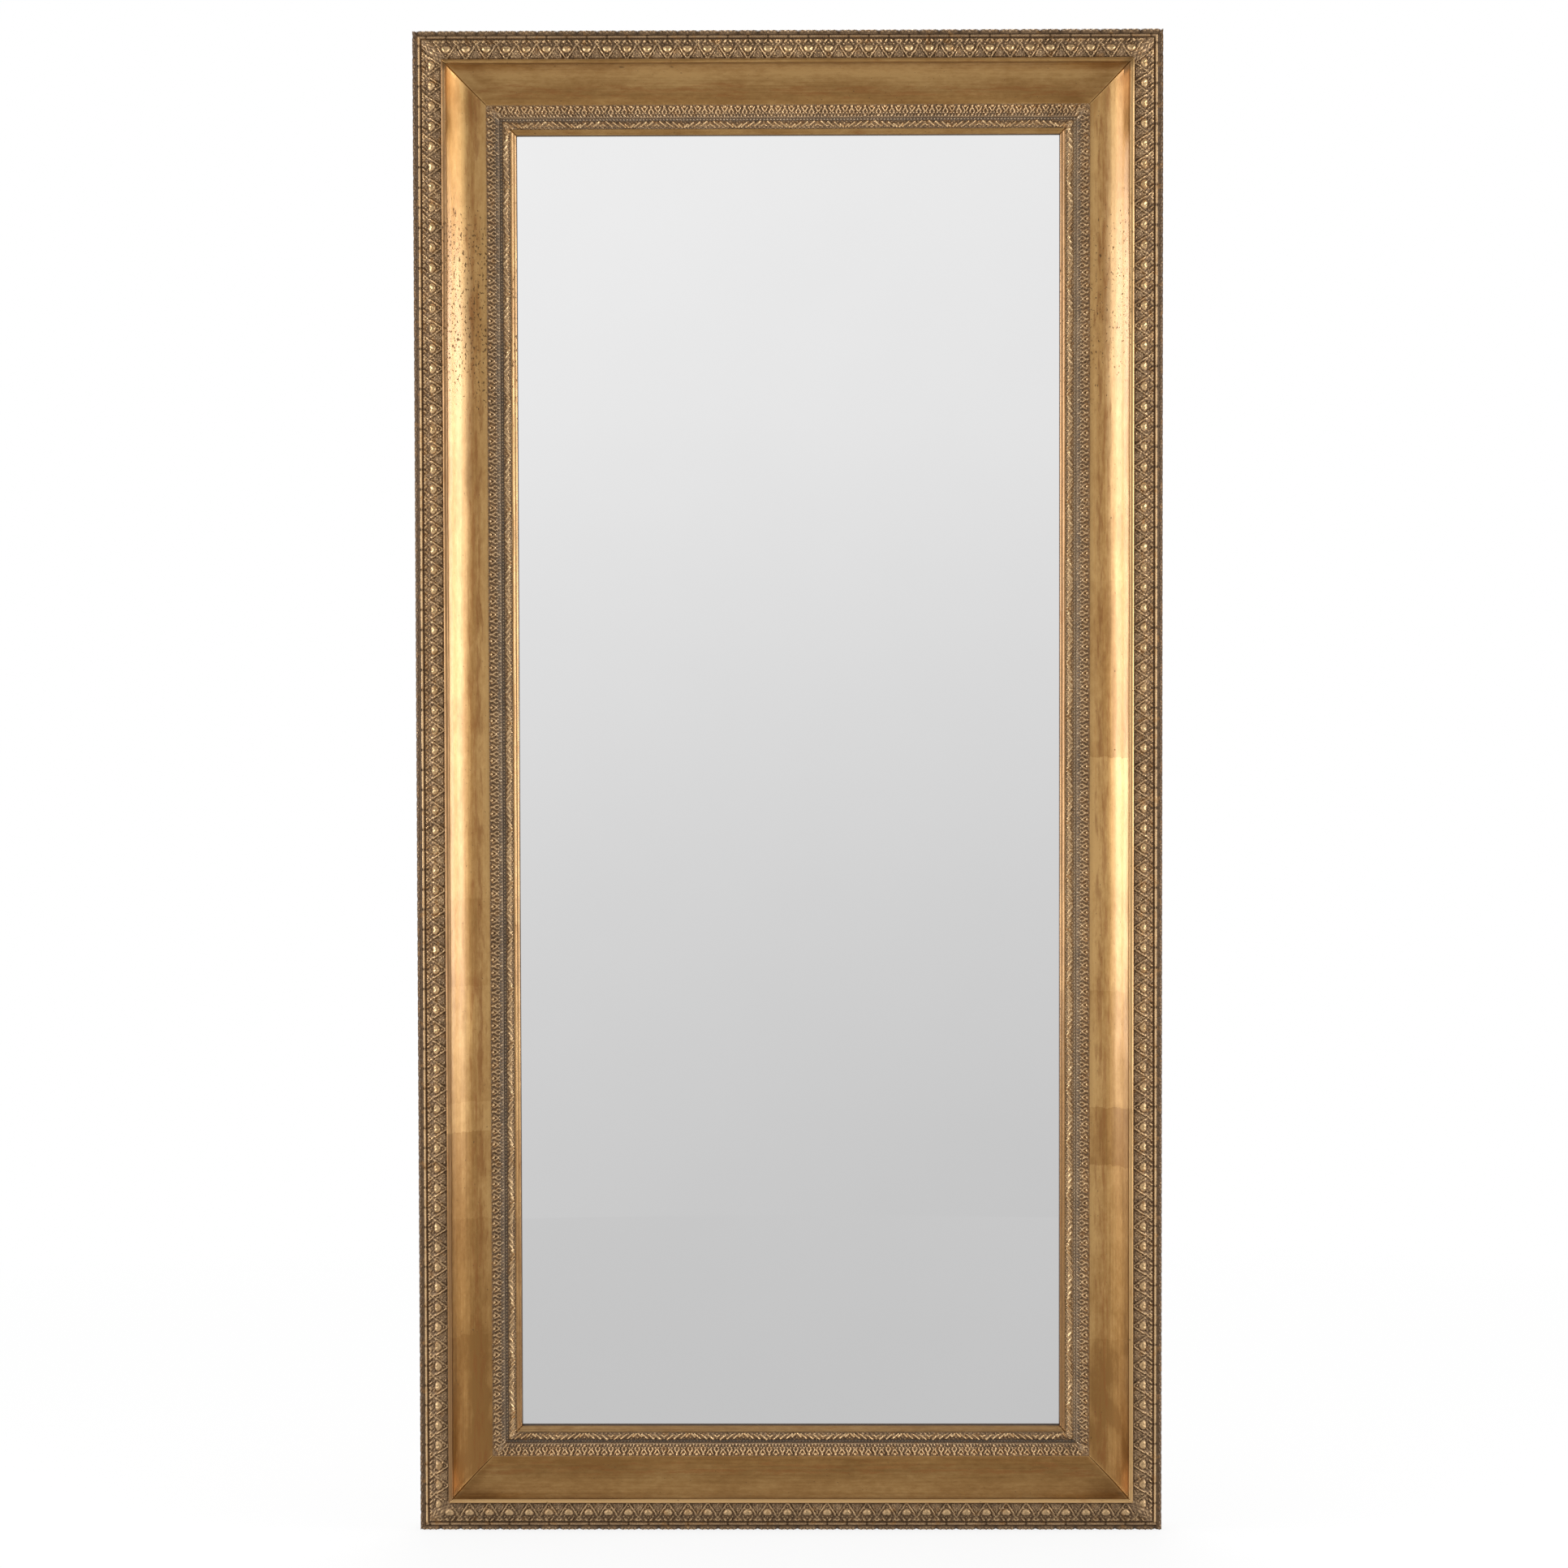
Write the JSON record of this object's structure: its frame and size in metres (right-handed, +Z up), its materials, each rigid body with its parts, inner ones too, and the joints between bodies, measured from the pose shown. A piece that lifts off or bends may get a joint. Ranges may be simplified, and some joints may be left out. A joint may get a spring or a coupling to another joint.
{
  "type": "floor mirror",
  "caption": "Tall gilt floor mirror: mitred hollow moulding with cast bead, bud and leaf ornament around a silvered pane; board, turn buttons, strap hangers and bumpers behind.",
  "frame": {"origin": "centre of the overall box at floor level, under the bottom rail", "axes": "+Z up the height of the mirror, -Y out of the glass towards the viewer, +X to the viewer's right"},
  "size_m": [0.994, 0.072, 2],
  "materials": {
    "gilded_wood": "rubbed gold leaf over red bole and gesso",
    "gilded_composition": "cast composition, gilded, toned dark in the recesses",
    "silvered_glass": "polished, silvered behind",
    "hardboard": "plain brown board",
    "packer_wood": "plain sawn softwood",
    "zinc_steel": "zinc plated",
    "rubber": "matt black",
    "felt": "pressed brown felt"
  },
  "bodies": {
    "frame": {"bottom_rail": "gilded_wood", "left_stile": "gilded_wood", "top_rail": "gilded_wood", "right_stile": "gilded_wood", "edge_strip_bottom": "gilded_composition", "edge_strip_left": "gilded_composition", "edge_strip_top": "gilded_composition", "edge_strip_right": "gilded_composition", "bead_strip_bottom": "gilded_composition", "bead_strip_left": "gilded_composition", "bead_strip_top": "gilded_composition", "bead_strip_right": "gilded_composition", "bud_strip_bottom": "gilded_composition", "bud_strip_left": "gilded_composition", "bud_strip_top": "gilded_composition", "bud_strip_right": "gilded_composition", "leaf_strip_bottom": "gilded_composition", "leaf_strip_left": "gilded_composition", "leaf_strip_top": "gilded_composition", "leaf_strip_right": "gilded_composition", "mirror_glass": "silvered_glass", "backing_board": "hardboard", "glass_setting_blocks": "rubber", "glass_edge_packers": "packer_wood", "mitre_splines": "packer_wood", "corner_brace_bottom_left": "zinc_steel", "corner_brace_top_left": "zinc_steel", "corner_brace_top_right": "zinc_steel", "corner_brace_bottom_right": "zinc_steel", "button_screws": "zinc_steel", "brace_screws": "zinc_steel", "hanger_screws": "zinc_steel", "hanger_strap_left": "zinc_steel", "hanger_strap_right": "zinc_steel", "wall_bumpers": "rubber", "floor_pads": "felt"},
    "turn_button_bottom_1": {"turn_button_bottom_1": "zinc_steel"},
    "turn_button_bottom_2": {"turn_button_bottom_2": "zinc_steel"},
    "turn_button_left_1": {"turn_button_left_1": "zinc_steel"},
    "turn_button_left_2": {"turn_button_left_2": "zinc_steel"},
    "turn_button_left_3": {"turn_button_left_3": "zinc_steel"},
    "turn_button_top_1": {"turn_button_top_1": "zinc_steel"},
    "turn_button_top_2": {"turn_button_top_2": "zinc_steel"},
    "turn_button_right_1": {"turn_button_right_1": "zinc_steel"},
    "turn_button_right_2": {"turn_button_right_2": "zinc_steel"},
    "turn_button_right_3": {"turn_button_right_3": "zinc_steel"},
    "hanger_ring_left": {"hanger_ring_left": "zinc_steel"},
    "hanger_ring_right": {"hanger_ring_right": "zinc_steel"}
  },
  "joints": [
    {"name": "turn_button_bottom_1_turn", "type": "hinge", "parent": "frame", "child": "turn_button_bottom_1", "pos_m": [0.21, 0.028, 0.1155], "axis": [0, 1, 0], "continuous": true},
    {"name": "turn_button_bottom_2_turn", "type": "hinge", "parent": "frame", "child": "turn_button_bottom_2", "pos_m": [-0.21, 0.028, 0.1155], "axis": [0, 1, 0], "continuous": true},
    {"name": "turn_button_left_1_turn", "type": "hinge", "parent": "frame", "child": "turn_button_left_1", "pos_m": [-0.3815, 0.028, 0.36], "axis": [0, 1, 0], "continuous": true},
    {"name": "turn_button_left_2_turn", "type": "hinge", "parent": "frame", "child": "turn_button_left_2", "pos_m": [-0.3815, 0.028, 1], "axis": [0, 1, 0], "continuous": true},
    {"name": "turn_button_left_3_turn", "type": "hinge", "parent": "frame", "child": "turn_button_left_3", "pos_m": [-0.3815, 0.028, 1.64], "axis": [0, 1, 0], "continuous": true},
    {"name": "turn_button_top_1_turn", "type": "hinge", "parent": "frame", "child": "turn_button_top_1", "pos_m": [-0.21, 0.028, 1.8845], "axis": [0, 1, 0], "continuous": true},
    {"name": "turn_button_top_2_turn", "type": "hinge", "parent": "frame", "child": "turn_button_top_2", "pos_m": [0.21, 0.028, 1.8845], "axis": [0, 1, 0], "continuous": true},
    {"name": "turn_button_right_1_turn", "type": "hinge", "parent": "frame", "child": "turn_button_right_1", "pos_m": [0.3815, 0.028, 1.64], "axis": [0, 1, 0], "continuous": true},
    {"name": "turn_button_right_2_turn", "type": "hinge", "parent": "frame", "child": "turn_button_right_2", "pos_m": [0.3815, 0.028, 1], "axis": [0, 1, 0], "continuous": true},
    {"name": "turn_button_right_3_turn", "type": "hinge", "parent": "frame", "child": "turn_button_right_3", "pos_m": [0.3815, 0.028, 0.36], "axis": [0, 1, 0], "continuous": true},
    {"name": "hanger_ring_left_swing", "type": "hinge", "parent": "frame", "child": "hanger_ring_left", "pos_m": [-0.437, 0.03135, 1.48], "axis": [1, 0, 0], "range_deg": [0, 178]},
    {"name": "hanger_ring_right_swing", "type": "hinge", "parent": "frame", "child": "hanger_ring_right", "pos_m": [0.437, 0.03135, 1.48], "axis": [1, 0, 0], "range_deg": [0, 178]}
  ]
}
